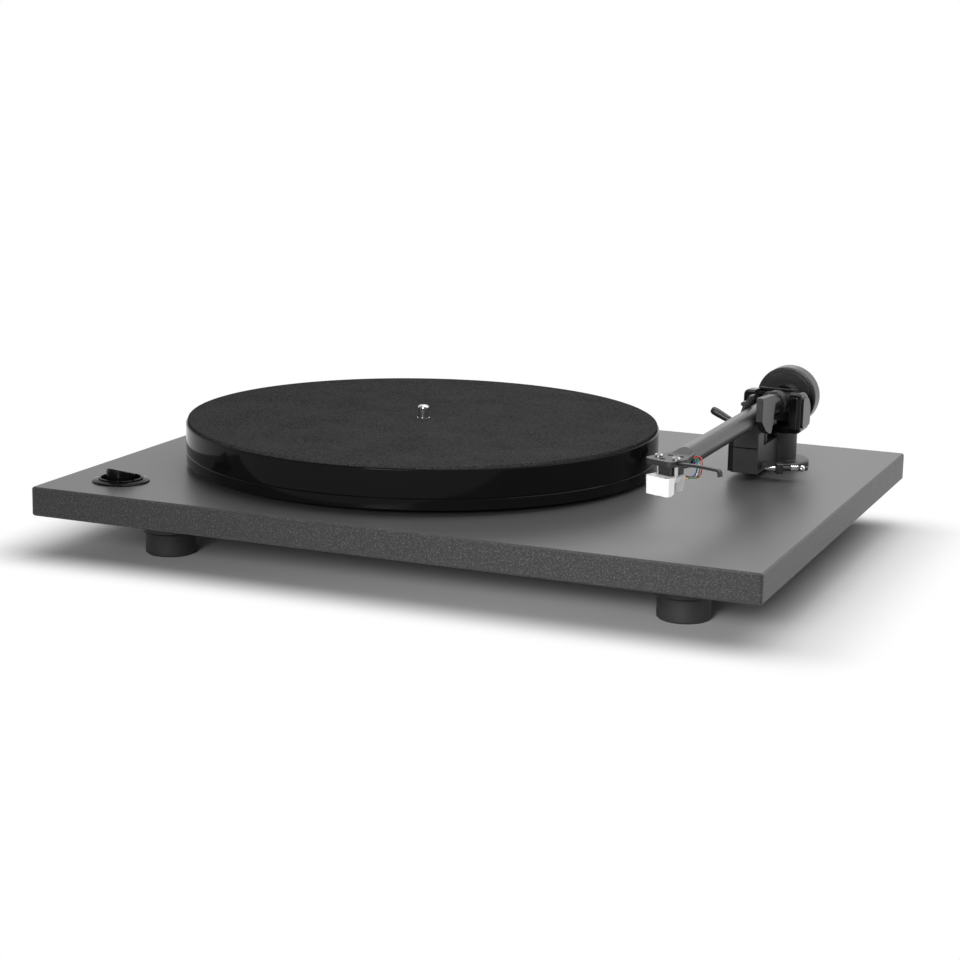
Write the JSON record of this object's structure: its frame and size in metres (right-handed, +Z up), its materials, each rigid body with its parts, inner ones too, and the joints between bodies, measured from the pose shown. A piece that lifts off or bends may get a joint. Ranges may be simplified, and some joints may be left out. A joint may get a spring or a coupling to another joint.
{
  "type": "turntable record player",
  "caption": "Belt-drive turntable record player: slim slab plinth on round feet, felt-topped platter, straight arm in a gimbal yoke, rocker switch.",
  "frame": {"origin": "on the ground, under the middle of the plinth", "axes": "+X to the right as the user faces it, -Y towards the user, +Z up"},
  "size_m": [0.45, 0.354, 0.1065],
  "materials": {
    "plinth_lacquer": "satin charcoal lacquer over board",
    "platter_gloss": "polished black",
    "felt": "dark felt",
    "rubber": "matt",
    "black_plastic": "fine moulded texture",
    "gloss_black": "glossy moulded",
    "arm_grey": "satin dark grey paint",
    "arm_moulding": "satin dark grey moulding",
    "steel": "turned",
    "chrome": "bright",
    "aluminium": "turned",
    "motor_steel": "zinc plated",
    "pale_grey": "moulded",
    "stylus_white": "moulded white",
    "foam": "closed-cell foam",
    "brass": "plain",
    "wire_white": "soft insulation",
    "wire_blue": "soft insulation",
    "wire_red": "soft insulation",
    "wire_green": "soft insulation"
  },
  "bodies": {
    "base": {"plinth": "plinth_lacquer", "foot_collars": "black_plastic", "rubber_feet": "rubber", "foot_screws": "steel", "bearing_housing": "brass", "bearing_nut": "steel", "thrust_ball": "steel", "motor_can": "motor_steel", "motor_pad": "foam", "motor_cover": "black_plastic", "motor_cover_screws": "steel", "drive_belt": "rubber", "switch_bezel": "gloss_black", "switch_body": "black_plastic", "cable_glands": "black_plastic", "arm_base": "black_plastic", "arm_washer": "steel", "arm_nut": "steel", "arm_bearings": "steel", "lift_housing": "arm_moulding", "arm_clip": "arm_moulding", "clip_finger": "arm_moulding", "bias_bracket": "black_plastic", "bias_rod": "black_plastic"},
    "platter": {"spindle_shaft": "steel", "sub_platter": "black_plastic", "flywheel_ring": "platter_gloss", "platter_disc": "platter_gloss", "felt_mat": "felt"},
    "rotor": {"motor_shaft": "steel", "motor_pulley": "aluminium"},
    "rocker": {"switch_rocker": "gloss_black", "rocker_pin": "steel"},
    "yoke": {"yoke_frame": "gloss_black", "yoke_side_panel": "gloss_black", "yoke_spindle": "steel", "pivot_screws": "black_plastic"},
    "arm": {"arm_hub": "arm_moulding", "pivot_axle": "steel", "arm_tube": "arm_grey", "counterweight_stub": "steel", "headshell": "arm_grey", "finger_lift": "arm_grey", "cartridge_mount": "black_plastic", "cartridge_shell": "pale_grey", "stylus_holder": "stylus_white", "cantilever": "aluminium", "cartridge_screws": "steel", "cartridge_pins": "brass", "wire_white": "wire_white", "wire_blue": "wire_blue", "wire_red": "wire_red", "wire_green": "wire_green"},
    "weight": {"counterweight": "arm_grey", "weight_collar": "steel"},
    "cue": {"cue_lever": "black_plastic", "cue_knob": "black_plastic"},
    "lift": {"lift_bar": "black_plastic"},
    "bias": {"bias_sleeve": "chrome"}
  },
  "joints": [
    {"name": "platter_spin", "type": "hinge", "parent": "base", "child": "platter", "pos_m": [-0.0461, -0.004, 0.06], "axis": [0, 0, 1], "continuous": true},
    {"name": "pulley_spin", "type": "hinge", "parent": "base", "child": "rotor", "pos_m": [-0.10833, 0.05822, 0.05], "axis": [0, 0, 1], "continuous": true},
    {"name": "arm_swing", "type": "hinge", "parent": "base", "child": "yoke", "pos_m": [0.156, 0.1055, 0.087], "axis": [0, 0, -1], "range_deg": [0, 44], "deforming": ["clip_finger"]},
    {"name": "arm_lift", "type": "hinge", "parent": "yoke", "child": "arm", "pos_m": [0.156, 0.1055, 0.087], "axis": [-1, 0, 0], "range_deg": [0, 11.5]},
    {"name": "counterweight_slide", "type": "slide", "parent": "arm", "child": "weight", "axis": [0, 1, 0], "range_m": [0, 0.012]},
    {"name": "cue_turn", "type": "hinge", "parent": "base", "child": "cue", "pos_m": [0.1438, 0.0645, 0.0755], "axis": [0, -1, 0], "range_deg": [0, 28]},
    {"name": "lift_rise", "type": "slide", "parent": "base", "child": "lift", "axis": [0, 0, 1], "range_m": [-0.003, 0]},
    {"name": "switch_rock", "type": "hinge", "parent": "base", "child": "rocker", "pos_m": [-0.1867, -0.138, 0.0445], "axis": [0, -1, 0], "range_deg": [0, 24]},
    {"name": "bias_slide", "type": "slide", "parent": "base", "child": "bias", "axis": [0.8829, 0.4695, 0], "range_m": [-0.0045, 0.001]}
  ],
  "couplings": [
    {"joint": "pulley_spin", "follows": "platter_spin", "ratio": 7.5},
    {"joint": "arm_lift", "follows": "arm_swing", "ratio": 0.25},
    {"joint": "cue_turn", "follows": "lift_rise", "rad_per_m": -162.5}
  ]
}
